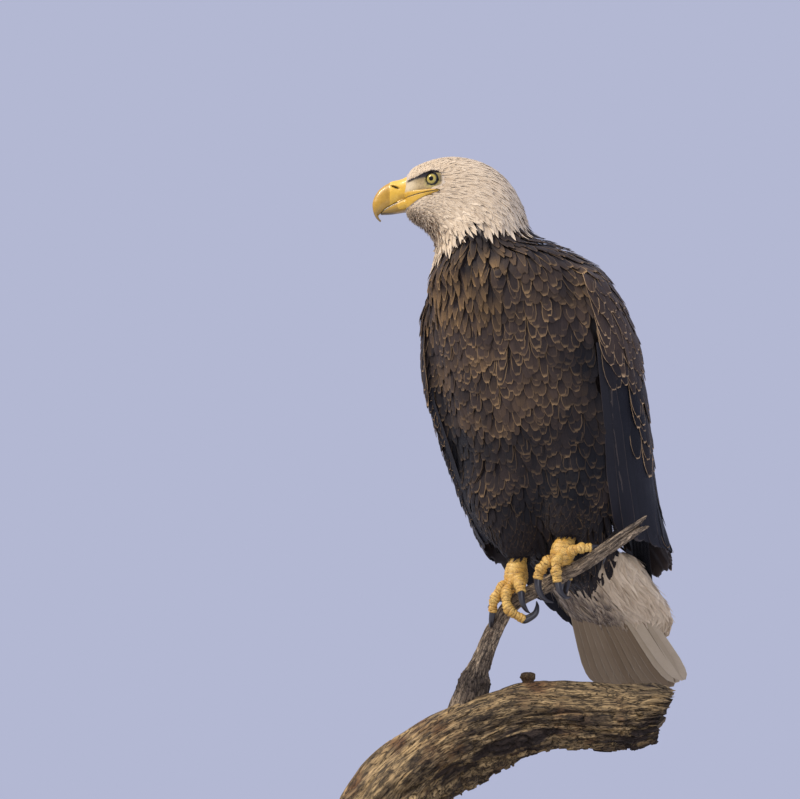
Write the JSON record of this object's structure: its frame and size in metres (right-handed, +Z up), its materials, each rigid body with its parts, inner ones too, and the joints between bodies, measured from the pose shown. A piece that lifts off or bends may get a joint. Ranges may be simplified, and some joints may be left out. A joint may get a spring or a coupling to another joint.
{
  "type": "bald eagle",
  "caption": "Perched adult bald eagle, upright with its head turned in profile, gripping a cut length of dead limb held over a round base by rods.",
  "frame": {"origin": "middle of the round base's underside, on the floor", "axes": "+Z up, the eagle's breast faces -Y and its left side +X; its head looks over its right shoulder"},
  "size_m": [0.5, 0.5356, 0.9984],
  "materials": {
    "white_plumage": "matt overlapping white feathers",
    "brown_plumage": "matt dark brown feathers with buff edges",
    "flight_feathers": "dark blackish flight feathers",
    "bill_horn": "smooth yellow horn",
    "eye": "wet pale yellow eye",
    "foot_skin": "yellow scaly skin",
    "talon": "glossy black horn",
    "weathered_wood": "dead weathered bark and wood",
    "base_wood": "dark satin wood",
    "rod_steel": "dull steel"
  },
  "bodies": {
    "root": {"bill_lower": "bill_horn", "bill_upper": "bill_horn", "eye_left": "eye", "eye_right": "eye", "gape_left": "bill_horn", "gape_right": "bill_horn", "head": "white_plumage", "neck": "white_plumage", "perch_branch": "weathered_wood", "perch_limb": "weathered_wood", "primaries_left": "flight_feathers", "primaries_right": "flight_feathers", "shank_left": "foot_skin", "shank_right": "foot_skin", "stand_base": "base_wood", "stand_rod_1": "rod_steel", "stand_rod_2": "rod_steel", "tail": "white_plumage", "tail_coverts_under": "white_plumage", "tail_coverts_upper": "white_plumage", "talon_hind_left": "talon", "talon_hind_right": "talon", "talon_inner_left": "talon", "talon_inner_right": "talon", "talon_middle_left": "talon", "talon_middle_right": "talon", "talon_outer_left": "talon", "talon_outer_right": "talon", "thigh_left": "brown_plumage", "thigh_right": "brown_plumage", "toe_hind_left": "foot_skin", "toe_hind_right": "foot_skin", "toe_inner_left": "foot_skin", "toe_inner_right": "foot_skin", "toe_middle_left": "foot_skin", "toe_middle_right": "foot_skin", "toe_outer_left": "foot_skin", "toe_outer_right": "foot_skin", "trunk": "brown_plumage", "wing_left": "brown_plumage", "wing_right": "brown_plumage"}
  },
  "joints": []
}
